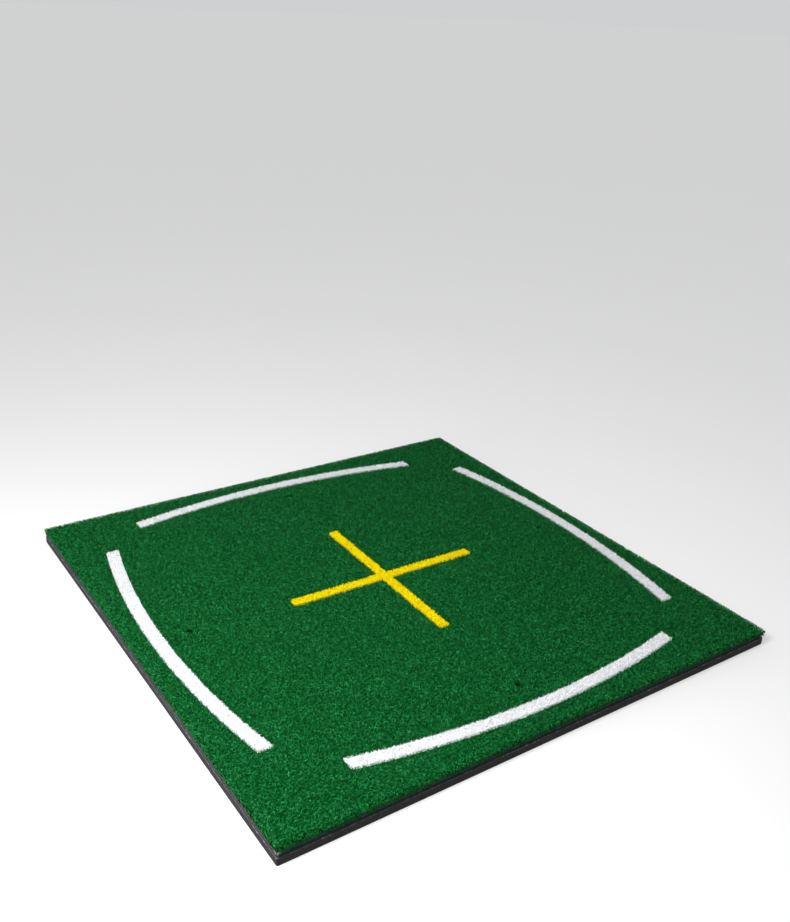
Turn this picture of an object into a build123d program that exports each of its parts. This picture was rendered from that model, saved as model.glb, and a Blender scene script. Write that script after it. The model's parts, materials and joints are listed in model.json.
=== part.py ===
from build123d import *
import os

# Golf driving-range teaching mat: a square of green turf with white and yellow turf inlaid in it,
# laid on a foam sheet, a layer of C-shaped spring filaments and a thick rubber base.
# Millimetres. +X runs along the front edge, +Y from front to back, +Z up.
# The origin is the centre of the underside.

# Driving dimensions of the whole mat
MAT_SIDE = 1500.0
CORNER_RADIUS = 4.0
TEE_HOLE_DIAMETER = 12.0

# Layers, from the floor up
BASE_THICKNESS = 18.6
GLUE_THICKNESS = 0.3
FABRIC_THICKNESS = 0.8
FILAMENT_HEIGHT = 10.8
FOAM_THICKNESS = 2.3
BACKING_THICKNESS = 0.8
PILE_HEIGHT = 12.0
PILE_EDGE_ROUND = 1.5

# Spring filaments: C-shaped rows that bulge towards -X, with their feet a step towards +X
FILAMENT_BULGE = 2.5
FILAMENT_FOOT_STEP = 1.25
FILAMENT_WIDTH = 0.35
FILAMENT_PITCH = 8.0
FILAMENT_SIDE_MARGIN = 0.6
FILAMENT_HOLE_CLEARANCE = 2.0

# White arcs, inlaid near each edge and bulging towards it
ARC_WIDTH = 38.0
ARC_CHORD = 1000.0
ARC_RADIUS = 2380.0

# Yellow cross, inlaid at the middle
CROSS_WIDTH = 33.0
LONG_BAR_LENGTH = 596.0
SHORT_BAR_LENGTH = 602.0

# Width of the seam round every inlaid strip
SEAM = 0.2

# How each arc is laid by hand: the way it faces, then its shift along the edge, the distance of
# its middle from the mat's centre, and its turn out of square
ARCS = {
    "back": {"facing": 0, "along": 4, "out": 678, "turn": -1.2},
    "left": {"facing": 90, "along": 21, "out": 680, "turn": -0.7},
    "front": {"facing": 180, "along": 4, "out": 673, "turn": -0.9},
    "right": {"facing": 270, "along": 4, "out": 690, "turn": -0.3},
}

# How the cross is laid: its middle and the turn of each bar out of square
CROSS_CENTRE = (5, 6)
LONG_BAR_TURN = -0.4
SHORT_BAR_TURN = -0.8

# Tee holes, one near the middle of each edge
TEE_HOLES = {
    "front": (5, -589),
    "back": (9, 586),
    "left": (-593, 25),
    "right": (599, 8),
}

# Heights worked out from the layers
BASE_TOP = BASE_THICKNESS
LOWER_FABRIC_BOTTOM = BASE_TOP + GLUE_THICKNESS
FILAMENT_FOOT = LOWER_FABRIC_BOTTOM + FABRIC_THICKNESS
FILAMENT_HEAD = FILAMENT_FOOT + FILAMENT_HEIGHT
UPPER_FABRIC_TOP = FILAMENT_HEAD + FABRIC_THICKNESS
FOAM_BOTTOM = UPPER_FABRIC_TOP + GLUE_THICKNESS
FOAM_TOP = FOAM_BOTTOM + FOAM_THICKNESS
BACKING_BOTTOM = FOAM_TOP + GLUE_THICKNESS
BACKING_TOP = BACKING_BOTTOM + BACKING_THICKNESS
PILE_TOP = BACKING_TOP + PILE_HEIGHT


def tee_hole_tools(radius, bottom, top):
    """Cylinders that cut the four tee holes between two heights."""
    height = top - bottom
    return [
        Pos(x, y, (bottom + top) / 2) * Cylinder(radius, height)
        for x, y in TEE_HOLES.values()
    ]


def full_sheet(bottom, thickness):
    """A layer as large as the whole mat, with the tee holes punched through it."""
    outline = RectangleRounded(MAT_SIDE, MAT_SIDE, CORNER_RADIUS)
    sheet = Pos(0, 0, bottom) * extrude(outline, amount=thickness)
    return sheet - tee_hole_tools(TEE_HOLE_DIAMETER / 2, bottom, bottom + thickness)


def filament_row():
    """One row of spring filaments, along Y, with the top of its C at X = 0."""
    head = (0, FILAMENT_HEAD)
    belly = (-FILAMENT_BULGE, (FILAMENT_HEAD + FILAMENT_FOOT) / 2)
    foot = (FILAMENT_FOOT_STEP, FILAMENT_FOOT)
    outside = ThreePointArc(head, belly, foot)
    inside = Pos(FILAMENT_WIDTH, 0) * outside
    section = make_face(
        [outside, Line(outside @ 1, inside @ 1), inside, Line(inside @ 0, outside @ 0)]
    )
    length = MAT_SIDE - 2 * FILAMENT_SIDE_MARGIN
    return extrude(Plane.XZ * section, amount=length / 2, both=True)


def spring_filaments():
    """Every row across the mat, cleared round the tee holes."""
    row = filament_row()
    reach = row.bounding_box()
    first = -MAT_SIDE / 2 + FILAMENT_SIDE_MARGIN - reach.min.X
    last = MAT_SIDE / 2 - FILAMENT_SIDE_MARGIN - reach.max.X
    gaps = int((last - first) // FILAMENT_PITCH)
    clearance = TEE_HOLE_DIAMETER / 2 + FILAMENT_HOLE_CLEARANCE
    tools = tee_hole_tools(clearance, FILAMENT_FOOT, FILAMENT_HEAD)
    rows = []
    for index in range(gaps + 1):
        x = first + (last - first) * index / gaps
        placed = Pos(x, 0, 0) * row
        for tool, (hole_x, _) in zip(tools, TEE_HOLES.values()):
            if abs(hole_x - x) < clearance + FILAMENT_BULGE:
                placed = placed - tool
        rows.extend(placed.solids())
    return Compound(rows)


def arc_outline(grow):
    """An arc strip in its own frame: +Y faces out, and its middle is at the origin."""
    half = ARC_CHORD / 2 + grow

    def edge(radius):
        end = (radius**2 - half**2) ** 0.5 - ARC_RADIUS
        return ThreePointArc((-half, end), (0, radius - ARC_RADIUS), (half, end))

    outer = edge(ARC_RADIUS + ARC_WIDTH / 2 + grow)
    inner = edge(ARC_RADIUS - ARC_WIDTH / 2 - grow)
    ends = [Line(outer @ 0, inner @ 0), Line(outer @ 1, inner @ 1)]
    return make_face([outer, inner, *ends])


def arc_strip(laid, grow=0.0):
    """A white arc, as high as the turf and its backing, where it is laid."""
    strip = extrude(Rot(0, 0, laid["turn"]) * arc_outline(grow), amount=PILE_TOP - BACKING_BOTTOM)
    place = Rot(0, 0, laid["facing"]) * Pos(laid["along"], laid["out"], BACKING_BOTTOM)
    return place * strip


def cross_bar(length, facing, turn, grow=0.0):
    """A straight yellow bar, as high as the turf and its backing, along Y turned by facing."""
    outline = Rectangle(CROSS_WIDTH + 2 * grow, length + 2 * grow)
    bar = extrude(Rot(0, 0, facing + turn) * outline, amount=PILE_TOP - BACKING_BOTTOM)
    return Pos(*CROSS_CENTRE, BACKING_BOTTOM) * bar


def long_bar(grow=0.0):
    return cross_bar(LONG_BAR_LENGTH, 0, LONG_BAR_TURN, grow)


def short_bar(grow=0.0):
    return cross_bar(SHORT_BAR_LENGTH, 90, SHORT_BAR_TURN, grow)


def short_bar_halves():
    """The two pieces that butt against the long bar, from -X to +X."""
    halves = (short_bar() - long_bar(SEAM)).solids()
    return halves.sort_by(Axis.X)


def inlay_tools():
    """The slots that the strips fill, a seam wider than the strips all round."""
    arcs = [arc_strip(laid, SEAM) for laid in ARCS.values()]
    return [*arcs, long_bar(SEAM), short_bar(SEAM)]


def turf_backing():
    sheet = full_sheet(BACKING_BOTTOM, BACKING_THICKNESS)
    return sheet - inlay_tools()


def green_pile():
    """The green field of the turf, its top edge rounded over as brushed pile is."""
    outline = RectangleRounded(MAT_SIDE, MAT_SIDE, CORNER_RADIUS)
    block = Pos(0, 0, BACKING_TOP) * extrude(outline, amount=PILE_HEIGHT)
    top_edges = block.edges().group_by(Axis.Z)[-1]
    block = fillet(top_edges, PILE_EDGE_ROUND)
    holes = tee_hole_tools(TEE_HOLE_DIAMETER / 2, BACKING_TOP, PILE_TOP)
    return block - [*holes, *inlay_tools()]


def glue_film(bottom):
    """A film of hot-melt glue between two layers."""
    return full_sheet(bottom, GLUE_THICKNESS)


left_half, right_half = short_bar_halves()

nodes = {
    "base_layer": full_sheet(0, BASE_THICKNESS),
    "base_glue_film": glue_film(BASE_TOP),
    "lower_fabric": full_sheet(LOWER_FABRIC_BOTTOM, FABRIC_THICKNESS),
    "spring_filaments": spring_filaments(),
    "upper_fabric": full_sheet(FILAMENT_HEAD, FABRIC_THICKNESS),
    "foam_glue_film": glue_film(UPPER_FABRIC_TOP),
    "foam_layer": full_sheet(FOAM_BOTTOM, FOAM_THICKNESS),
    "turf_glue_film": glue_film(FOAM_TOP),
    "turf_backing": turf_backing(),
    "green_pile": green_pile(),
    "cross_long_bar": long_bar(),
    "cross_short_bar_left": left_half,
    "cross_short_bar_right": right_half,
}
for side, laid in ARCS.items():
    nodes[f"white_arc_{side}"] = arc_strip(laid)

os.makedirs("parts", exist_ok=True)
for name, shape in nodes.items():
    export_step(shape, f"parts/{name}.step")
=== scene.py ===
"""Golf teaching mat: the looks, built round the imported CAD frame. Lengths are in metres."""

import json
import math

import bpy
import numpy as np
from mathutils import Matrix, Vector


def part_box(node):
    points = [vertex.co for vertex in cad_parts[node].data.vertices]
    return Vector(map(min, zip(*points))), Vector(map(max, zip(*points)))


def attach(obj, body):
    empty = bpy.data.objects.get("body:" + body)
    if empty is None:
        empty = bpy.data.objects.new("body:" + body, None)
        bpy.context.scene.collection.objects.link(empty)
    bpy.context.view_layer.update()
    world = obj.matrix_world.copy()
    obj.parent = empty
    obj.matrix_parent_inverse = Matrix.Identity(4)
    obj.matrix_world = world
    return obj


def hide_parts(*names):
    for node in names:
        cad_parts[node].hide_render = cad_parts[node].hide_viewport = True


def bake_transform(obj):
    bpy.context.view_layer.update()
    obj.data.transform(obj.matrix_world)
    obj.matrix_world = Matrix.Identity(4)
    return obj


MM = 0.001

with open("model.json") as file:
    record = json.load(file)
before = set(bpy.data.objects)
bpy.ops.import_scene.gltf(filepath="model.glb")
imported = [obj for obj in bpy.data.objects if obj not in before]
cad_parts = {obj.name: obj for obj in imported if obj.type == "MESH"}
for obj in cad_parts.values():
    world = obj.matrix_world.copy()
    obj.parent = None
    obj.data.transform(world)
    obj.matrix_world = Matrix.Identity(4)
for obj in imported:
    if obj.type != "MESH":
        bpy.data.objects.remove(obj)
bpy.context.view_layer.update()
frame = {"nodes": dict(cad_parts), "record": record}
nodes = frame["nodes"]

# The layers' heights and the mat's half side, from the frame
HALF_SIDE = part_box("base_layer")[1][0]
BASE_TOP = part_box("base_layer")[1][2]
FOOT_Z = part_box("spring_filaments")[0][2]
HEAD_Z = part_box("spring_filaments")[1][2]
FOAM_LOW, FOAM_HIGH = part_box("foam_layer")[0][2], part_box("foam_layer")[1][2]
BACKING_LOW, BACKING_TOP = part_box("turf_backing")[0][2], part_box("turf_backing")[1][2]
PILE_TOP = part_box("green_pile")[1][2]
PILE = PILE_TOP - BACKING_TOP

STRIPS = {
    "white": [name for name in nodes if name.startswith("white_arc")],
    "yellow": [name for name in nodes if name.startswith("cross_")],
}


# ---------------------------------------------------------------- camera, floor and light


def camera(place, azimuth, elevation, roll, lens, shift):
    """A camera at place that looks along azimuth, from +Y towards +X, and down by elevation."""
    data = bpy.data.cameras.new("camera")
    data.sensor_width = 36.0
    data.lens = lens
    data.shift_x, data.shift_y = shift
    data.clip_start, data.clip_end = 0.05, 300
    item = bpy.data.objects.new("camera", data)
    turn = Matrix.Rotation(math.radians(-azimuth), 4, "Z")
    tilt = Matrix.Rotation(math.radians(90 - elevation), 4, "X")
    spin = Matrix.Rotation(math.radians(roll), 4, "Z")
    item.matrix_world = Matrix.Translation(place) @ turn @ tilt @ spin
    bpy.context.scene.collection.objects.link(item)
    bpy.context.scene.camera = item


def area_light(name, place, target, size, power):
    """A round light at place that points at target and stays out of the picture itself."""
    data = bpy.data.lights.new(name, "AREA")
    data.shape = "DISK"
    data.size = size
    data.energy = power
    item = bpy.data.objects.new(name, data)
    item.location = place
    aim = Matrix.Translation(target).translation - item.location
    item.rotation_euler = aim.to_track_quat("-Z", "Y").to_euler()
    item.visible_camera = False
    bpy.context.scene.collection.objects.link(item)


def floor():
    """A level pale square, so large that its far side meets the sky at the horizon."""
    half = 80.0
    mesh = bpy.data.meshes.new("floor")
    corners = [(-half, -half, 0), (half, -half, 0), (half, half, 0), (-half, half, 0)]
    mesh.from_pydata(corners, [], [(0, 1, 2, 3)])
    item = bpy.data.objects.new("floor", mesh)
    bpy.context.scene.collection.objects.link(item)
    item.data.materials.append(pale_floor())


def sky(low, high):
    """A soft dome: brightness low at the horizon, where it meets the floor, and high overhead."""
    world = bpy.data.worlds.new("studio")
    bpy.context.scene.world = world
    world.use_nodes = True
    tree = world.node_tree
    split = tree.nodes.new("ShaderNodeSeparateXYZ")
    tree.links.new(tree.nodes.new("ShaderNodeTexCoord").outputs["Generated"], split.inputs[0])
    fade = tree.nodes.new("ShaderNodeMapRange")
    ranges = {"From Min": 0.03, "From Max": 0.45, "To Min": low, "To Max": high}
    for socket, value in ranges.items():
        fade.inputs[socket].default_value = value
    tree.links.new(split.outputs["Z"], fade.inputs["Value"])
    dome = tree.nodes["Background"]
    dome.inputs["Color"].default_value = (0.97, 0.98, 1.0, 1)
    tree.links.new(fade.outputs["Result"], dome.inputs["Strength"])


def studio():
    """A pale sky, a key light above the near corner and a low light on the mat's left side."""
    bpy.context.scene.view_settings.view_transform = "Standard"
    sky(low=0.64, high=0.45)
    area_light("key", place=(-1.5, -0.8, 1.9), target=(-0.3, -0.2, 0), size=1.0, power=56)
    area_light("left", place=(-2.6, 0.1, 0.28), target=(-0.75, 0.0, 0.02), size=0.6, power=38)


# ---------------------------------------------------------------- material helpers


class Shader:
    """A new node material with short calls for the nodes that the mat's materials share."""

    def __init__(self, name):
        self.material = bpy.data.materials.new(name)
        self.material.use_nodes = True
        self.tree = self.material.node_tree
        self.surface = self.tree.nodes["Principled BSDF"]

    def node(self, kind, **settings):
        made = self.tree.nodes.new(kind)
        for key, value in settings.items():
            setattr(made, key, value)
        return made

    def link(self, source, target):
        self.tree.links.new(source, target)

    def place(self):
        """The object's own coordinates, in metres."""
        return self.node("ShaderNodeTexCoord").outputs["Object"]

    def scaled(self, source, scale):
        mapping = self.node("ShaderNodeMapping")
        mapping.inputs["Scale"].default_value = scale
        self.link(source, mapping.inputs["Vector"])
        return mapping.outputs["Vector"]

    def noise(self, vector, scale, detail=3.0, roughness=0.5):
        made = self.node("ShaderNodeTexNoise")
        made.inputs["Scale"].default_value = scale
        made.inputs["Detail"].default_value = detail
        made.inputs["Roughness"].default_value = roughness
        self.link(vector, made.inputs["Vector"])
        return made.outputs["Fac"]

    def cells(self, vector, scale, feature="F1"):
        made = self.node("ShaderNodeTexVoronoi", feature=feature)
        made.inputs["Scale"].default_value = scale
        self.link(vector, made.inputs["Vector"])
        return made

    def ramp(self, factor, stops):
        """A colour that follows factor. stops are (place, grey or colour)."""
        made = self.node("ShaderNodeValToRGB")
        elements = made.color_ramp.elements
        while len(elements) < len(stops):
            elements.new(0.5)
        for element, (place, value) in zip(elements, stops):
            element.position = place
            colour = value if hasattr(value, "__len__") else (value, value, value)
            element.color = (*colour, 1)
        self.link(factor, made.inputs["Fac"])
        return made.outputs["Color"]

    def mix(self, factor, a, b):
        """The colour between a and b. Each argument is a socket or a plain value."""
        made = self.node("ShaderNodeMix", data_type="RGBA")
        for socket, value in ((made.inputs[0], factor), (made.inputs[6], a), (made.inputs[7], b)):
            if isinstance(value, bpy.types.NodeSocket):
                self.link(value, socket)
            elif hasattr(value, "__len__"):
                socket.default_value = (*value, 1)
            else:
                socket.default_value = value
        return made.outputs[2]

    def colour(self, source):
        self.link(source, self.surface.inputs["Base Color"])

    def roughness(self, source):
        if isinstance(source, bpy.types.NodeSocket):
            self.link(source, self.surface.inputs["Roughness"])
        else:
            self.surface.inputs["Roughness"].default_value = source

    def bump(self, height, distance):
        made = self.node("ShaderNodeBump")
        made.inputs["Distance"].default_value = distance
        self.link(height, made.inputs["Height"])
        self.link(made.outputs["Normal"], self.surface.inputs["Normal"])

    def fixed(self, **values):
        """Sets plain numbers on the shader's own sockets, by their names with _ for a space."""
        for key, value in values.items():
            self.surface.inputs[key.replace("_", " ")].default_value = value


def pale_floor():
    """Matte pale sweep that glows a little, so that it stays pale far from the lights."""
    made = Shader("pale_floor")
    grain = made.noise(made.place(), 2.0)
    made.colour(made.mix(grain, (0.62, 0.62, 0.61), (0.6, 0.6, 0.59)))
    made.roughness(0.95)
    made.fixed(Specular_IOR_Level=0.0, Emission_Color=(1, 1, 1, 1), Emission_Strength=0.36)
    return made.material


# ---------------------------------------------------------------- materials of the mat

# Colours at the root, low and high in the pile and at the tip. The darkening towards the root is painted
# shade deep in the pile, and the green's pale tip is a painted glint
GREEN = (0.0, 0.022, 0.004), (0.0, 0.062, 0.009), (0.001, 0.1, 0.016), (0.03, 0.4, 0.1)
WHITE = (0.7, 0.71, 0.72), (0.86, 0.87, 0.88), (0.93, 0.94, 0.95), (0.96, 0.97, 0.98)
YELLOW = (0.75, 0.53, 0.0), (0.93, 0.74, 0.0), (0.97, 0.8, 0.0), (0.98, 0.86, 0.0)


def yarn(name, colours, gloss=0.1, glint=(1, 1, 1)):
    """Ribbon yarn. The UV map's U is each ribbon's own shade and V its height in the pile."""
    root, low, high, tip = colours
    made = Shader(name)
    split = made.node("ShaderNodeSeparateXYZ")
    made.link(made.node("ShaderNodeUVMap", uv_map="OFBake").outputs["UV"], split.inputs[0])
    shade, height = split.outputs["X"], split.outputs["Y"]
    # Both ramps darken towards the root: painted shade deep in the pile. In the green, the light ramp's
    # pale tip is a painted glint
    dark = made.ramp(height, [(0.0, root), (0.45, low), (1.0, high)])
    light = made.ramp(height, [(0.0, root), (0.45, high), (1.0, tip)])
    made.colour(made.mix(shade, dark, light))
    made.roughness(0.34)
    made.fixed(Specular_IOR_Level=gloss, Specular_Tint=(*glint, 1))
    return made.material


def crumb_rubber():
    """Bonded rubber crumb: dark grains, a few of them lighter, and worn paler in patches."""
    made = Shader("crumb_rubber")
    place = made.place()
    grain = made.cells(place, 800)
    tone = made.noise(place, 9.0)
    crumbs = made.noise(place, 1300, 2.0, 0.6)
    speckle = made.ramp(crumbs, [(0.42, 0.002), (0.52, 0.006), (0.62, 0.02), (0.72, 0.19)])
    worn = made.ramp(tone, [(0.35, (0.003, 0.003, 0.005)), (0.65, (0.012, 0.012, 0.015))])
    made.colour(made.mix(0.4, speckle, worn))
    made.roughness(made.ramp(grain.outputs["Color"], [(0.0, 0.4), (0.5, 0.75), (1.0, 0.5)]))
    made.fixed(Specular_IOR_Level=0.15)
    fine = made.cells(place, 900, "SMOOTH_F1")
    made.bump(fine.outputs["Distance"], 0.6 * MM)
    return made.material


def cut_foam():
    """Dark grey felted foam with a knife-cut edge: fine pores and streaks along the cut."""
    made = Shader("cut_foam")
    place = made.place()
    streaks = made.noise(made.scaled(place, (1, 1, 3)), 650, 4.0, 0.65)
    pores = made.cells(place, 900)
    tones = [(0.38, (0.01, 0.01, 0.012)), (0.5, (0.035, 0.035, 0.04)), (0.66, (0.17, 0.17, 0.19))]
    base = made.ramp(streaks, tones)
    made.colour(made.mix(0.3, base, made.ramp(pores.outputs["Distance"], [(0.0, 0.015), (0.6, 0.06)])))
    made.roughness(0.85)
    made.fixed(Specular_IOR_Level=0.2)
    made.bump(streaks, 0.6 * MM)
    return made.material


def fuzzy_fabric(name, dark, light):
    """Knitted carrier fabric: fine loops and paler broken fibres."""
    made = Shader(name)
    place = made.place()
    loops = made.cells(made.scaled(place, (1, 1, 1.6)), 700)
    fibres = made.noise(made.scaled(place, (1, 1, 3)), 420, 6.0, 0.75)
    base = made.ramp(fibres, [(0.38, dark), (0.62, light)])
    made.colour(made.mix(0.3, base, made.ramp(loops.outputs["Distance"], [(0.0, dark), (0.8, light)])))
    made.roughness(0.8)
    made.fixed(Specular_IOR_Level=0.2, Sheen_Weight=0.1, Sheen_Roughness=0.4)
    made.bump(fibres, 0.5 * MM)
    return made.material


def fibre(name, dark, light):
    """Loose fibre of one tone that varies from place to place."""
    made = Shader(name)
    patch = made.noise(made.place(), 45, 2.0)
    made.colour(made.ramp(patch, [(0.4, dark), (0.62, light)]))
    made.roughness(0.5)
    made.fixed(Specular_IOR_Level=0.3)
    return made.material


def latex_backing():
    """Black woven backing under a latex coat, with a plain weave showing through."""
    made = Shader("latex_backing")
    place = made.place()
    warp = made.node("ShaderNodeTexWave", wave_type="BANDS", bands_direction="X")
    weft = made.node("ShaderNodeTexWave", wave_type="BANDS", bands_direction="Y")
    for band in (warp, weft):
        band.inputs["Scale"].default_value = 170
        band.inputs["Distortion"].default_value = 1.2
        made.link(place, band.inputs["Vector"])
    weave = made.mix(0.5, warp.outputs["Color"], weft.outputs["Color"])
    blotch = made.noise(place, 60, 4.0)
    made.colour(made.mix(blotch, (0.004, 0.005, 0.005), (0.012, 0.014, 0.012)))
    made.roughness(made.ramp(blotch, [(0.3, 0.5), (0.7, 0.75)]))
    made.fixed(Specular_IOR_Level=0.2)
    made.bump(weave, 0.3 * MM)
    return made.material


def monofilament():
    """Glossy black extruded strand."""
    made = Shader("monofilament")
    scuff = made.noise(made.place(), 260, 3.0)
    made.colour(made.mix(scuff, (0.003, 0.003, 0.004), (0.012, 0.012, 0.013)))
    made.roughness(made.ramp(scuff, [(0.3, 0.12), (0.75, 0.26)]))
    made.fixed(Coat_Weight=0.9, Coat_Roughness=0.05, Coat_IOR=1.6)
    return made.material


def hot_melt():
    """Thin film of dark hot-melt glue."""
    made = Shader("hot_melt")
    pull = made.noise(made.place(), 300, 4.0, 0.6)
    made.colour(made.mix(pull, (0.008, 0.008, 0.009), (0.03, 0.03, 0.032)))
    made.roughness(made.ramp(pull, [(0.3, 0.3), (0.7, 0.55)]))
    made.fixed(Specular_IOR_Level=0.25)
    made.bump(pull, 0.2 * MM)
    return made.material


# ---------------------------------------------------------------- mesh helpers


def mesh_piece(name, points, faces, material, body, uv=None, smooth=True):
    """A mesh from arrays, whose faces all have as many corners, that rides on a body. uv has one row
    per face corner."""
    mesh = bpy.data.meshes.new(name)
    mesh.vertices.add(len(points))
    mesh.vertices.foreach_set("co", np.ascontiguousarray(points, np.float32).ravel())
    mesh.loops.add(faces.size)
    mesh.loops.foreach_set("vertex_index", np.ascontiguousarray(faces, np.int32).ravel())
    mesh.polygons.add(len(faces))
    starts = np.arange(0, faces.size, faces.shape[1], dtype=np.int32)
    mesh.polygons.foreach_set("loop_start", starts)
    mesh.polygons.foreach_set("use_smooth", np.full(len(faces), smooth))
    if uv is not None:
        layer = mesh.uv_layers.new(name="OFBake")
        layer.data.foreach_set("uv", np.ascontiguousarray(uv, np.float32).ravel())
    mesh.update(calc_edges=True)
    mesh.validate()
    mesh.materials.append(material)
    item = bpy.data.objects.new(name, mesh)
    bpy.context.scene.collection.objects.link(item)
    if body:
        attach(item, body)
    return item


def outline(node):
    """The edges round a CAD node's upper face, as an array of (start, end) points in X and Y."""
    mesh = nodes[node].data
    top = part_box(node)[1][2] - 0.1 * MM
    uses = {}
    for face in mesh.polygons:
        corners = [mesh.vertices[index].co for index in face.vertices]
        if min(corner.z for corner in corners) < top:
            continue
        keys = [(round(corner.x, 6), round(corner.y, 6)) for corner in corners]
        for start, end in zip(keys, keys[1:] + keys[:1]):
            edge = (min(start, end), max(start, end))
            uses[edge] = uses.get(edge, 0) + 1
    return np.array([edge for edge, count in uses.items() if count == 1 and edge[0] != edge[1]])


def inside(points, edges):
    """Which points lie inside the closed outline, by counting the edges to their right."""
    found = np.zeros(len(points), bool)
    x, y = points[:, 0], points[:, 1]
    for (x0, y0), (x1, y1) in edges:
        if y0 == y1:
            continue
        crosses = (y0 > y) != (y1 > y)
        found ^= crosses & (x < (x1 - x0) * (y - y0) / (y1 - y0) + x0)
    return found


def nearest_edge(points, edges):
    """Each point's distance to the outline, and the unit vector that leads away from it."""
    best = np.full(len(points), np.inf)
    away = np.zeros_like(points)
    for start, end in edges:
        along = end - start
        share = np.clip((points - start) @ along / (along @ along), 0, 1)
        gap = points - (start + share[:, None] * along)
        distance = np.hypot(gap[:, 0], gap[:, 1])
        closer = distance < best
        best[closer] = distance[closer]
        away[closer] = gap[closer] / np.maximum(distance[closer, None], 1e-9)
    return best, away


def unit(vectors):
    """The vectors scaled to length one."""
    return vectors / np.maximum(np.linalg.norm(vectors, axis=-1, keepdims=True), 1e-12)


def drawer(rng, count):
    """A function that draws one even random number per item, as a column."""

    def draw(low, high):
        return rng.uniform(low, high, (count, 1))

    return draw


def strip_faces(count, rows, sides, closed=False):
    """Quads of count equal strips, each of rows rings of sides points."""
    ring = np.arange(sides if closed else sides - 1)
    following = (ring + 1) % sides
    row = np.arange(rows - 1)[:, None] * sides
    quads = np.stack([row + ring, row + following, row + following + sides, row + ring + sides], -1)
    start = np.arange(count)[:, None, None] * rows * sides
    return (quads.reshape(1, -1, 4) + start).reshape(-1, 4)


# ---------------------------------------------------------------- turf

TUFT_SPACING = 2.6 * MM
RIM_SPACING = 2.0 * MM
STRIP_SPACING = 2.3 * MM
JITTER = 0.48
RIM = 20.0 * MM
ROOT_MARGIN = 0.6 * MM
OUTER_BAND = 6.0 * MM
PATCHES = 4
SIDES = {"front": (0, -1), "right": (1, 0), "back": (0, 1), "left": (-1, 0)}

# A ribbon's length in mm, width, height as a share of the pile, how far it can reach sideways, and how
# far each of its sides is from its middle in the UV map
RIBBON_LENGTH = (12.5, 16.5)
RIBBON_WIDTH = 1.15 * MM
RIBBON_HEIGHT = (0.88, 1.0)
RIBBON_REACH = 11.0 * MM
UV_GAP = 0.004

# A ribbon's angles in radians: how it turns, less if it leans a set way, and how it rises and bends
LEAN_SPREAD = 0.9
CURL = 4.6
HELD_CURL = 0.35
SWAY = 0.35
ROOT_RISE = (0.75, 1.5)
MEAN_BEND = 1.1
BEND_SPREAD = (-0.85, 0.9)
NOD = 0.3

# Near a strip's outline ribbons reach less far sideways, and the strip's own ones lean into it
UPRIGHT_SHARE = 0.3
UPRIGHT_GAP = 9.0 * MM
LEAN_IN = 5.0 * MM
GREEN_SLACK = 1.0 * MM
STRIP_SLACK = 0.1 * MM

# How far yarn can hang over the mat's side: on the left and in front, on the right and at the back
OVERHANG_LOW = np.array([2.8, 8.5]) * MM
OVERHANG_HIGH = np.array([5.5, 4.0]) * MM
SOFTNESS = 1.3
# Ribbons within SPLAY of the side may lean out over it. With an overhang of FULL_SPLAY, all would
SPLAY = 7.0 * MM
FULL_SPLAY = 9.5 * MM
# The yarn that hangs over the side sinks towards LOWEST_YARN, and the faster the smaller the scale
LOWEST_YARN = BACKING_TOP - 7.0 * MM
DROOP_SCALE = 2.2 * MM
TIP_SLACK = 0.4 * MM

THATCH_CELL = 4.0 * MM
THATCH_START = 9.0 * MM
THATCH_FADE = 6.0 * MM
THATCH_HEIGHT = (0.38, 0.54)

BORES = [mount for mount in frame["record"]["mounts"] if mount["kind"] == "bore"]
HOLES = [np.array(bore["pos_m"][:2]) for bore in BORES]
HOLE_RADIUS = BORES[0]["dims"]["r_mm"] * MM
HOLE_MARGIN = 2.6 * MM


def hole_gap(points):
    """Each point's distance from the nearest tee hole's wall."""
    gaps = [np.hypot(points[:, 0] - hole[0], points[:, 1] - hole[1]) for hole in HOLES]
    return np.min(gaps, 0) - HOLE_RADIUS


def open_gap(points):
    """Each point's distance from where the pile ends: the mat's side or a tee hole's wall."""
    return np.minimum(HALF_SIDE - np.abs(points).max(-1), hole_gap(points))


def open_holes(points):
    """Pushes most of what hangs over a tee hole back round it."""
    share = 0.85
    for hole in HOLES:
        gap = points[..., :2] - hole
        radius = np.hypot(gap[..., 0], gap[..., 1])
        clear = HOLE_RADIUS + HOLE_MARGIN
        push = np.maximum(clear - radius, 0) * share / np.maximum(radius, 1e-6)
        points[..., :2] += gap * push[..., None]
    return points


def scatter(low, high, spacing, rng):
    """Jittered places over a rectangle."""
    counts = np.maximum(np.round((high - low) / spacing).astype(int), 1)
    step = (high - low) / counts
    x, y = (low[i] + step[i] * (np.arange(counts[i]) + 0.5) for i in range(2))
    x, y = np.meshgrid(x, y)
    places = np.stack([x.ravel(), y.ravel()], 1)
    return places + rng.uniform(-JITTER, JITTER, places.shape) * step


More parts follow.
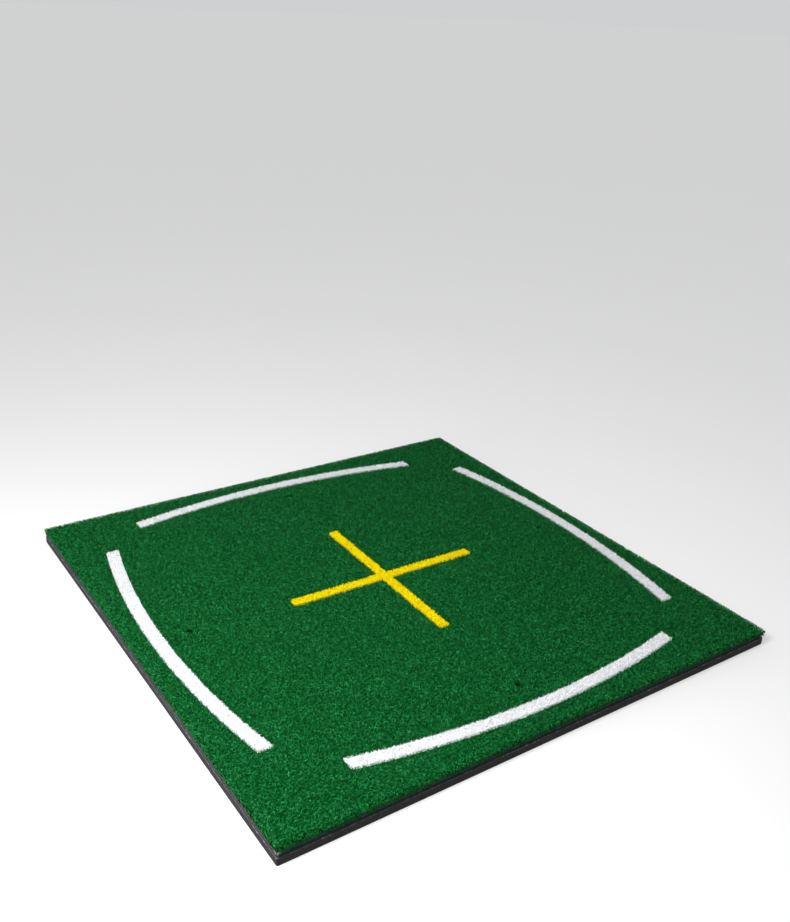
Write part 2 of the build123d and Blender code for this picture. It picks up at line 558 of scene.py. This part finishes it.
def ribbons(roots, gap, away, hold, start, steps, rng):
    """Curled ribbons that grow from roots. Those near an outline, by their gap from it, stand
    straighter, and those in hold lean towards away. What is below start, a share of the length, is
    left out. Returns their points, shaped (ribbon, step, side, 3)."""
    count = len(roots)
    s = np.linspace(start, 1, steps + 1)
    if start:
        s = np.append(0, s)
    mid = (s[1:] + s[:-1]) / 2
    draw = drawer(rng, count)

    length = draw(*RIBBON_LENGTH) * MM
    lean = np.arctan2(away[:, 1], away[:, 0])[:, None] + draw(-LEAN_SPREAD, LEAN_SPREAD)
    free = draw(-math.pi, math.pi)
    heading = np.where(hold[:, None], lean, free)
    curl = draw(-CURL, CURL) * np.where(hold[:, None], HELD_CURL, 1.0)
    turn = heading + curl * mid + SWAY * np.sin(2 * math.pi * (mid + draw(0, 1)))
    rise = draw(*ROOT_RISE) + (draw(*BEND_SPREAD) - MEAN_BEND) * mid**1.3
    rise += NOD * np.sin(2 * math.pi * (mid * draw(0.8, 1.4) + draw(0, 1)))
    step = np.stack([np.cos(rise) * np.cos(turn), np.cos(rise) * np.sin(turn), np.sin(rise)], -1)
    step *= (length * np.diff(s))[:, :, None]
    line = np.concatenate([np.zeros((count, 1, 3)), np.cumsum(step, 1)], 1)

    height = draw(*RIBBON_HEIGHT) * PILE
    line[:, :, 2] *= height / line[:, :, 2].max(1, keepdims=True)
    line[:, :, :2] *= np.clip(UPRIGHT_SHARE + gap / UPRIGHT_GAP, UPRIGHT_SHARE, 1)[:, None, None]
    line[:, :, :2] += roots[:, None, :]
    line[:, :, 2] += BACKING_TOP

    tangent = unit(np.gradient(line, axis=1))
    level = unit(np.stack([-tangent[:, :, 1], tangent[:, :, 0], 0 * tangent[:, :, 0]], -1))
    upright = np.cross(tangent, level)
    twist = (draw(-0.6, 0.6) + draw(-1.3, 1.3) * s)[:, :, None]
    across = np.cos(twist) * level + np.sin(twist) * upright
    half = RIBBON_WIDTH / 2 * draw(0.75, 1.25) * (1 - 0.25 * s**3)
    across *= half[:, :, None]
    return np.stack([line - across, line + across], 2)[:, -steps - 1:]


def overhang(flat):
    """How far the yarn may hang over the mat's side that is nearest to each point, in X and in Y."""
    return np.where(flat > 0, OVERHANG_HIGH, OVERHANG_LOW)


def keep_in(points):
    """Bends what hangs over the mat's side back to within the overhang and down, and keeps tips in
    height. The yarn sinks more on a side with a larger overhang."""
    flat = points[..., :2]
    over = np.maximum(np.abs(flat) - HALF_SIDE, 0)
    limit = overhang(flat)
    held = HALF_SIDE + limit * np.tanh(over / (SOFTNESS * limit))
    points[..., :2] = np.where(over > 0, np.sign(flat) * held, flat)
    room = np.maximum(points[..., 2] - LOWEST_YARN, 0.1 * MM)
    droop = (over * limit).max(-1) / DROOP_SCALE
    height = LOWEST_YARN + room * np.exp(-droop / room)
    points[..., 2] = np.minimum(height, PILE_TOP + TIP_SLACK)
    return points


def hold_back(points, edges, own_side, slack):
    """Brings points that are past an outline, on the side that isn't theirs, back to within slack."""
    flat = points[..., :2].reshape(-1, 2)
    wrong = inside(flat, edges) != own_side
    over, away = nearest_edge(flat[wrong], edges)
    flat[wrong] -= away * (over - slack * np.tanh(over / slack))[:, None]
    points[..., :2] = flat.reshape(points[..., :2].shape)
    return points


def thatch(low, high, edges, rng):
    """The dense curled undergrowth between the ribbons, as a rough sheet inside an outline: points
    and quads. It sinks to the backing at the mat's side and round the tee holes."""
    counts = np.ceil((high - low) / THATCH_CELL).astype(int) + 1
    x, y = np.meshgrid(*(np.linspace(low[i], high[i], counts[i]) for i in range(2)))
    flat = np.stack([x.ravel(), y.ravel()], 1)
    gap, away = nearest_edge(flat, edges)
    near = gap < 0.6 * THATCH_CELL  # these move onto the outline
    kept = near | inside(flat, edges)
    flat[near] -= away[near] * gap[near, None]
    corner = (np.arange(counts[1] - 1)[:, None] * counts[0] + np.arange(counts[0] - 1)).ravel()
    quads = np.stack([corner, corner + 1, corner + counts[0] + 1, corner + counts[0]], 1)
    quads = quads[kept[quads].all(1)]
    quads = quads[inside(flat[quads].mean(1), edges)]
    cover = np.clip((open_gap(flat) - THATCH_START) / THATCH_FADE, 0, 1)
    height = PILE * cover * (2 - cover) * rng.uniform(*THATCH_HEIGHT, len(flat))
    quads = quads[cover[quads].max(1) > 0]
    return np.column_stack([flat, BACKING_TOP + height]), quads


def chosen_part(points, quads, shade, chosen):
    """The chosen quads, with only the points that they use."""
    used, index = np.unique(quads[chosen], return_inverse=True)
    return points[used], index.reshape(-1, 4), shade[used]


def ribbon_part(points, shade):
    """Ribbons' points, quads and the shade of each point."""
    count, rows, sides = points.shape[:3]
    return points.reshape(-1, 3), strip_faces(count, rows, sides), np.repeat(shade, rows * sides)


def turf_piece(name, parts, material):
    """One object of yarn from parts of points, quads and shades. Its UV is (shade, height), which the
    yarn's material reads. A ribbon's two sides are slightly apart in U, so that each face has an area
    in the UV map."""
    starts = np.cumsum([0] + [len(part[0]) for part in parts])
    points = np.concatenate([part[0] for part in parts])
    faces = np.concatenate([part[1] + start for part, start in zip(parts, starts)])
    shade = np.concatenate([part[2] for part in parts])
    # V, the height in the pile, also carries the yarn's painted shade, which darkens towards the root
    height = np.clip((points[:, 2] - BACKING_TOP) / PILE, 0.001, 0.999)
    apart = np.where(np.arange(len(points)) % 2 == 0, -UV_GAP, UV_GAP)
    tone = np.clip(0.01 + 0.98 * shade + apart, 0, 1)
    uv = np.stack([tone, height], -1)[faces.ravel()]
    return mesh_piece(name, points, faces, material, "deck", uv)


def grow(roots, edges, rng, own_side, slack, start, steps):
    """Ribbons on roots, kept in the mat and on their own side of an outline: True for inside it. Those
    inside a strip's outline lean into it, and many of those near the mat's side lean out over it."""
    gap, away = nearest_edge(roots, edges)
    hold = own_side & (gap < LEAN_IN)
    outer = np.abs(roots) > HALF_SIDE - SPLAY
    chance = np.where(outer, overhang(roots), 0).max(1) / FULL_SPLAY
    out = rng.uniform(0, 1, len(roots)) < chance
    away[out] = unit(np.where(outer, np.sign(roots), 0.0))[out]
    points = ribbons(roots, gap, away, hold | out, start, steps, rng)
    close = gap < RIBBON_REACH
    points[close] = hold_back(points[close], edges, own_side, slack)
    return open_holes(keep_in(points))


def green_roots(spacing, low, high, backing, rng):
    """Places for green ribbons, inside the backing's outline, that are between low and high away from
    where the pile ends."""
    corner = np.full(2, HALF_SIDE)
    limit = HALF_SIDE - ROOT_MARGIN
    roots = np.clip(scatter(-corner, corner, spacing, rng), -limit, limit)
    gap = open_gap(roots)
    roots = roots[(gap >= low) & (gap < high) & (hole_gap(roots) > HOLE_MARGIN)]
    return roots[inside(roots, backing)]


def green_shades(count, rng):
    """Shades of which most are dark and a few are bright. They differ at random, and the few bright ones
    carry the green's pale tip, a painted glint.
    """
    return rng.uniform(0, 1, count) ** 3


def patch(places):
    """The number of the square patch of the field that each place is in."""
    cells = ((places + HALF_SIDE) / (2 * HALF_SIDE) * PATCHES).astype(int)
    cells = np.clip(cells, 0, PATCHES - 1)
    return cells[:, 0] + PATCHES * cells[:, 1]


def green_turf(rng):
    """The green yarn: a dense rim in four pieces, and the field in square patches with thatch below."""
    backing = outline("turf_backing")
    # The edges of the slots and of the tee holes, without those of the mat's side
    inner = backing[np.abs(backing).max(axis=(1, 2)) < HALF_SIDE - OUTER_BAND]
    material = yarn("green_yarn", GREEN, glint=(0.6, 1, 0.7))

    rim = green_roots(RIM_SPACING, 0, RIM, backing, rng)
    points = grow(rim, inner, rng, own_side=False, slack=GREEN_SLACK, start=0, steps=6)
    shade = green_shades(len(rim), rng)
    nearest = np.argmax(rim @ np.array(list(SIDES.values())).T, 1)
    for index, side in enumerate(SIDES):
        own = nearest == index
        parts = [ribbon_part(points[own], shade[own])]
        turf_piece(f"green_rim_{side}", parts, material)

    field = green_roots(TUFT_SPACING, RIM, HALF_SIDE, backing, rng)
    points = grow(field, inner, rng, own_side=False, slack=GREEN_SLACK, start=0.36, steps=4)
    shade = green_shades(len(field), rng)
    corner = np.full(2, HALF_SIDE)
    under, quads = thatch(-corner, corner, backing, rng)
    under_shade = green_shades(len(under), rng)
    ribbon_patch, quad_patch = patch(field), patch(under[quads].mean(1)[:, :2])
    for index in range(PATCHES**2):
        own = ribbon_patch == index
        parts = [
            ribbon_part(points[own], shade[own]),
            chosen_part(under, quads, under_shade, quad_patch == index),
        ]
        piece = turf_piece(f"green_turf_{index + 1}", parts, material)
        if index == 0:
            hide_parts("green_pile")


def strip_turf(rng):
    """The yarn of the white arcs and of the yellow cross, one piece for each CAD node."""
    materials = {
        "white": yarn("white_yarn", WHITE),
        "yellow": yarn("yellow_yarn", YELLOW, gloss=0.06),
    }
    for colour, names in STRIPS.items():
        for node in names:
            edges = outline(node)
            low, high = (np.array(corner[:2]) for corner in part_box(node))
            roots = scatter(low, high, STRIP_SPACING, rng)
            roots = roots[inside(roots, edges)]
            points = grow(roots, edges, rng, own_side=True, slack=STRIP_SLACK, start=0.3, steps=4)
            under, quads = thatch(low, high, edges, rng)
            parts = [
                ribbon_part(points, rng.uniform(0, 1, len(roots))),
                (under, quads, rng.uniform(0, 1, len(under))),
            ]
            piece = turf_piece(f"{node}_yarn", parts, materials[colour])
            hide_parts(node)


# ---------------------------------------------------------------- spring filaments

STRAND_RADIUS = 0.25 * MM
STRAND_SIDES = 3
STRAND_STEPS = 6
STRAND_JITTER = 0.25 * MM
STRAND_WOBBLE = 0.35 * MM
STRAND_DRIFT = 0.4 * MM
# How far a strand's middle bulges towards -X and its foot is off towards +X, and the spread of both
STRAND_BULGE = 2.5 * MM
BULGE_SPREAD = (0.8, 1.1)
STRAND_FOOT_STEP = 1.25 * MM
FOOT_SPREAD = (0.7, 1.2)
ROW_PITCH = 3.6 * MM
STRAND_PITCH = 2.2 * MM
DEEP_STRANDS = 9
SIDE_ROWS = 6
INNER_PITCH = 36.0 * MM
INNER_JITTER = 3.0 * MM
STRAND_HOLE_GAP = 3.0 * MM
# From the mat's side to the outermost strands on the left, on the right, and in front and at the back
LEFT_MARGIN, RIGHT_MARGIN, END_MARGIN = 0.5 * MM, 0.6 * MM, 1.2 * MM


def strands(heads, rng):
    """C-shaped strands from their heads' places in X and Y down to their feet."""
    t = np.linspace(0, 1, STRAND_STEPS + 1)
    draw = drawer(rng, len(heads))
    bulge = STRAND_BULGE * draw(*BULGE_SPREAD)
    foot = STRAND_FOOT_STEP * draw(*FOOT_SPREAD)
    curve = 2 * foot + 4 * bulge
    x = heads[:, :1] + curve * t**2 + (foot - curve) * t
    y = heads[:, 1:] + STRAND_WOBBLE * draw(-1, 1) * np.sin(math.pi * t) + STRAND_DRIFT * draw(-1, 1) * t
    z = HEAD_Z + (FOOT_Z - HEAD_Z) * t + 0 * x
    line = np.stack([x, y, z], -1)
    tangent = unit(np.gradient(line, axis=1))
    side = unit(np.cross(tangent, np.array([0.0, 1.0, 0.0])))
    other = np.cross(tangent, side)
    spin = 2 * math.pi * np.arange(STRAND_SIDES) / STRAND_SIDES
    ring = np.cos(spin)[:, None] * side[:, :, None] + np.sin(spin)[:, None] * other[:, :, None]
    return line[:, :, None] + STRAND_RADIUS * ring


def grid(xs, ys, jitter, rng):
    """Strands' heads in jittered rows, clear of the tee holes."""
    x, y = np.meshgrid(xs, ys)
    heads = np.stack([x.ravel(), y.ravel()], 1)
    heads += rng.uniform(-jitter, jitter, heads.shape)
    return heads[hole_gap(heads) > STRAND_HOLE_GAP]


def filaments():
    """Rows of strands, all of them near the sides and a few of them in the middle, where none shows."""
    rng = np.random.default_rng(23)
    left = -HALF_SIDE + STRAND_BULGE * BULGE_SPREAD[1] + LEFT_MARGIN
    right = HALF_SIDE - STRAND_FOOT_STEP * FOOT_SPREAD[1] - RIGHT_MARGIN
    edge = HALF_SIDE - END_MARGIN
    rows = np.linspace(left, right, int((right - left) / ROW_PITCH) + 1)
    deep = STRAND_PITCH * np.arange(DEEP_STRANDS)
    along = np.arange(-edge + deep[-1] + STRAND_PITCH, edge - deep[-1], STRAND_PITCH)
    inner = np.arange(-HALF_SIDE + INNER_PITCH, HALF_SIDE - INNER_PITCH / 2, INNER_PITCH)
    places = {
        "front": grid(rows, -edge + deep, STRAND_JITTER, rng),
        "back": grid(rows, edge - deep, STRAND_JITTER, rng),
        "left": grid(rows[:SIDE_ROWS], along, STRAND_JITTER, rng),
        "right": grid(rows[-SIDE_ROWS:], along, STRAND_JITTER, rng),
        "inner": grid(inner, inner, INNER_JITTER, rng),
    }
    material = monofilament()
    for name, heads in places.items():
        points = strands(heads, rng)
        faces = strip_faces(*points.shape[:3], closed=True)
        points = points.reshape(-1, 3)
        piece = mesh_piece(f"filaments_{name}", points, faces, material, None)
        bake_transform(piece)
        if name == "inner":
            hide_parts("spring_filaments")


# ---------------------------------------------------------------- the mat's cut side

CORNER = 4.0 * MM
STRAIGHT = 2 * (HALF_SIDE - CORNER)
PERIMETER = 4 * STRAIGHT + 2 * math.pi * CORNER
UV_BANDS = 24
SKIN_SHARE = 0.9
TUCK = 0.1 * MM
GRAIN_ROWS = 64
FIBRE_CURL = 2.2


def side_frame(s):
    """Points of the mat's side at distances s round it from the front side's left end, and the
    directions out of the side and along it."""
    side = np.floor(s / (PERIMETER / 4)) * math.pi / 2
    local = s % (PERIMETER / 4)
    turn = side + np.maximum(local - STRAIGHT, 0) / CORNER
    out = np.stack([np.sin(turn), -np.cos(turn)], -1)
    along = np.stack([np.cos(turn), np.sin(turn)], -1)
    run = np.minimum(local, STRAIGHT) - STRAIGHT / 2
    depth = STRAIGHT / 2
    x = run * np.cos(side) + depth * np.sin(side)
    y = run * np.sin(side) - depth * np.cos(side)
    return np.stack([x, y], -1) + CORNER * out, out, along


def grains(s, z, length, height, rng):
    """A pattern of cells on the side, of about length by height. Each point gets its cell's own
    number and its distance from the cell's middle."""
    columns = round(PERIMETER / length)
    table = rng.uniform(0, 1, (columns, GRAIN_ROWS, 3))
    u, v = s / PERIMETER * columns, z / height
    nearest = np.full(s.shape, np.inf)
    number = np.zeros(s.shape)
    for right in (-1, 0, 1):
        for up in (-1, 0, 1):
            column = np.floor(u).astype(int) + right
            row = np.floor(v).astype(int) + up
            spot = table[column % columns, row % GRAIN_ROWS]
            distance = np.hypot(column + spot[..., 0] - u, row + spot[..., 1] - v)
            closer = distance < nearest
            nearest[closer] = distance[closer]
            number[closer] = spot[..., 2][closer]
    return number, nearest


def side_skin(low, high, step, stand):
    """A rough skin all round the mat's side, on a grid of step = (along, up). stand gives how far out
    it is at s and z, and its lower and upper rims are tucked in. Its UV map lays it in bands, one
    above the other. Returns its points, its triangles and one UV row per corner."""
    columns = UV_BANDS * round(PERIMETER / UV_BANDS / step[0])
    rows = round((high - low) / step[1]) + 1
    distances = np.arange(columns) * PERIMETER / columns
    s, z = np.meshgrid(distances, np.linspace(low, high, rows), indexing="ij")
    place, out, _ = side_frame(s)
    depth = stand(s, z)
    depth[:, [0, -1]] = -TUCK
    points = np.concatenate([place + depth[..., None] * out, z[..., None]], -1).reshape(-1, 3)

    cells = np.meshgrid(np.arange(columns), np.arange(rows - 1), indexing="ij")
    column, row = (index.reshape(-1, 1) for index in cells)
    right, up = np.array([0, 1, 1, 0]), np.array([0, 0, 1, 1])
    faces = (column + right) % columns * rows + row + up
    per_band = columns // UV_BANDS
    u = (column % per_band + right) / per_band
    band = column // per_band + 0.05 + 0.9 * (row + up) / (rows - 1)
    uv = np.stack([u, SKIN_SHARE * band / UV_BANDS], -1)
    halves = np.array([[0, 1, 2], [0, 2, 3]])
    return points, faces[:, halves].reshape(-1, 3), uv[:, halves].reshape(-1, 2)


def level_faces(node):
    """A CAD layer's faces but for the mat's outer side: points, triangles, UV rows in the corner that
    the skins' bands leave free, and the area of its upper face."""
    mesh = nodes[node].data
    points = np.array([vertex.co[:] for vertex in mesh.vertices])
    triangles = np.array([face.vertices[:] for face in mesh.polygons])
    normals = np.array([face.normal[:] for face in mesh.polygons])
    reach = np.abs(points[triangles].mean(1)[:, :2]).max(1)
    outer = (np.abs(normals[:, 2]) < 0.5) & (reach > HALF_SIDE - CORNER)
    upper = sum(face.area for face in mesh.polygons if face.normal.z > 0.5)
    triangles = triangles[~outer]
    flat = points[triangles.ravel(), :2]
    uv = SKIN_SHARE + (1 - SKIN_SHARE) * (0.5 + 0.45 * flat / HALF_SIDE)
    return points, triangles, uv, upper


def soft_layer(node, low, high, step, stand, material, body):
    """A soft layer that stands for its CAD node: level inside, with a rough cut side. Returns it and
    the area that it was cut to."""
    points, faces, uv = side_skin(low, high, step, stand)
    level, level_triangles, level_uv, area = level_faces(node)
    faces = np.concatenate([faces, level_triangles + len(points)])
    points, uv = np.concatenate([points, level]), np.concatenate([uv, level_uv])
    piece = mesh_piece(f"soft_{node}", points, faces, material, body, uv, smooth=False)
    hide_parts(node)
    return piece, area


def fibres(name, s, z, length, rise, stand, width, material, body, slot, rng):
    """Loose flat fibres that start in the mat's side at s and z. length, rise (their angle) and stand
    (how far they bow out of the side) are ranges."""
    steps = 3
    t = np.linspace(0, 1, steps + 1)
    count = len(s)
    draw = drawer(rng, count)
    place, out, along = side_frame(s % PERIMETER)
    angle = draw(*rise) + draw(-FIBRE_CURL, FIBRE_CURL) * t[1:]
    stride = draw(*length) / steps
    sense = np.sign(draw(-1, 1))
    run = np.pad(np.cumsum(sense * np.cos(angle) * stride, 1), ((0, 0), (1, 0)))
    up = np.pad(np.cumsum(np.sin(angle) * stride, 1), ((0, 0), (1, 0)))
    bow = draw(*stand) * np.sin(math.pi * t * draw(0.5, 0.95)) - 0.15 * MM * (t == 0)
    flat = place[:, None] + run[..., None] * along[:, None] + bow[..., None] * out[:, None]
    line = np.concatenate([flat, (z[:, None] + up)[..., None]], -1)

    tangent = unit(np.gradient(line, axis=1))
    outward = np.column_stack([out, np.zeros(count)])[:, None]
    across = unit(np.cross(tangent, outward))
    tilt = draw(-1.2, 1.2)[..., None]
    across = np.cos(tilt) * across + np.sin(tilt) * outward
    half = (width / 2 * (1 - 0.5 * t))[None, :, None]
    points = np.stack([line - half * across, line + half * across], 2).reshape(-1, 3)
    mesh_piece(name, points, strip_faces(count, steps + 1, 2), material, body)


def rough_sides(materials):
    """The cut faces of the layers: torn crumb on the base, and soft layers of streaked foam and ragged
    fabric."""
    rng = np.random.default_rng(31)

    def crumb(s, z):
        number, middle = grains(s, z, 2.3 * MM, 1.9 * MM, rng)
        fine, _ = grains(s, z, 1.2 * MM, 1.1 * MM, rng)
        return (0.05 + 0.45 * number + 0.15 * fine - 0.25 * middle**2) * MM

    def streak(s, z):
        broad, _ = grains(s, z, 9 * MM, 0.8 * MM, rng)
        fine, _ = grains(s, z, 2.5 * MM, 0.5 * MM, rng)
        return (0.05 + 0.3 * broad + 0.25 * fine) * MM

    def ragged(s, z):
        number, middle = grains(s, z, 2.6 * MM, 0.9 * MM, rng)
        return (0.1 + 0.75 * number - 0.3 * middle) * MM

    coarse = (1.25 * MM, 1.2 * MM)
    points, faces, uv = side_skin(0.2 * MM, BASE_TOP, coarse, crumb)
    mesh_piece("rubber_side", points, faces, materials["base_layer"], "base", uv)

    fine = (1.25 * MM, 0.28 * MM)
    foam = materials["foam_layer"]
    pad, _ = soft_layer("foam_layer", FOAM_LOW, FOAM_HIGH, fine, streak, foam, "deck")
    sheets = {
        "lower_fabric": ("base", "carrier_fabric", "base_glue_film"),
        "upper_fabric": ("deck", "carrier_fabric", "filaments_inner"),
        "turf_backing": ("deck", "backing", "turf_glue_film"),
    }
    for node, (body, slot, under) in sheets.items():
        low, high = (corner[2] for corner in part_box(node))
        piece, area = soft_layer(node, low, high, fine, ragged, materials[node], body)


def loose_fibres():
    """What frays out of the cut sides."""
    rng = np.random.default_rng(37)
    fuzz = fibre("fabric_fuzz", (0.03, 0.03, 0.035), (0.42, 0.43, 0.46))
    loop = fibre("fabric_loop", (0.015, 0.015, 0.018), (0.12, 0.12, 0.13))
    fray = fibre("backing_fray", (0.003, 0.004, 0.004), (0.012, 0.014, 0.013))
    pale = fibre("pale_fray", (0.18, 0.18, 0.19), (0.5, 0.5, 0.52))

    # All round the mat: name, count, heights, length, rise, stand, width, material, body and slot
    lots = [
        ("lower_fuzz", 12000, (FOOT_Z - 0.7 * MM, FOOT_Z), (0.8 * MM, 2.4 * MM), (-0.3, 1.1),
         (0.2 * MM, 0.8 * MM), 0.16 * MM, fuzz, "base", "carrier_fabric"),
        ("upper_loops", 6000, (HEAD_Z, HEAD_Z + 0.7 * MM), (1.5 * MM, 3.2 * MM), (-1.1, 0.0),
         (0.4 * MM, 1.3 * MM), 0.48 * MM, loop, "deck", "carrier_fabric"),
        ("backing_frays", 6000, (BACKING_LOW, BACKING_TOP), (1.2 * MM, 3.6 * MM), (-1.2, 0.3),
         (0.4 * MM, 1.3 * MM), 0.26 * MM, fray, "deck", "backing"),
    ]
    for name, count, heights, *look in lots:
        z = rng.uniform(*heights, count)
        s = rng.uniform(0, PERIMETER, count)
        fibres(name, s, z, *look, rng)

    tufts, each = 240, 26
    s = np.repeat(rng.uniform(0, PERIMETER, tufts), each)
    s += rng.normal(0, 1.3 * MM, tufts * each)
    z = FOOT_Z + np.repeat(rng.uniform(-0.6 * MM, 1.6 * MM, tufts), each)
    fibres("loose_tufts", s, z, length=(0.8 * MM, 2.6 * MM), rise=(-0.5, 1.3),
           stand=(0.4 * MM, 1.3 * MM), width=0.2 * MM, material=pale,
           body="base", slot="carrier_fabric", rng=rng)

    # The front left corner is where s ends
    count = 150
    s = PERIMETER - rng.normal(3.5 * MM, 3.5 * MM, count)
    z = rng.uniform(FOAM_HIGH, BACKING_TOP, count)
    fibres("corner_fray", s, z, length=(2.0 * MM, 6.5 * MM), rise=(-0.4, 1.2),
           stand=(0.6 * MM, 2.4 * MM), width=0.24 * MM, material=pale,
           body="deck", slot="backing", rng=rng)


# ---------------------------------------------------------------- layers


def layers():
    """Each layer's material, given to those whose CAD node stays."""
    glue = hot_melt()
    materials = {
        "base_layer": crumb_rubber(),
        "lower_fabric": fuzzy_fabric("lower_fabric", (0.008, 0.008, 0.01), (0.13, 0.13, 0.14)),
        "upper_fabric": fuzzy_fabric("upper_fabric", (0.006, 0.006, 0.008), (0.1, 0.1, 0.11)),
        "foam_layer": cut_foam(),
        "turf_backing": latex_backing(),
        "base_glue_film": glue,
        "foam_glue_film": glue,
        "turf_glue_film": glue,
    }
    for node in ("base_layer", "base_glue_film", "foam_glue_film", "turf_glue_film"):
        slots = nodes[node].data.materials
        slots.clear()
        slots.append(materials[node])
    return materials


# ---------------------------------------------------------------- the scene

studio()
camera(
    place=(-1.447, -2.069, 1.570),
    azimuth=35.03,
    elevation=24.50,
    roll=2.77,
    lens=39.52,
    shift=(0.0044, -0.0021),
)
floor()
rough_sides(layers())
loose_fibres()
filaments()
yarn_rng = np.random.default_rng(11)
green_turf(yarn_rng)
strip_turf(yarn_rng)
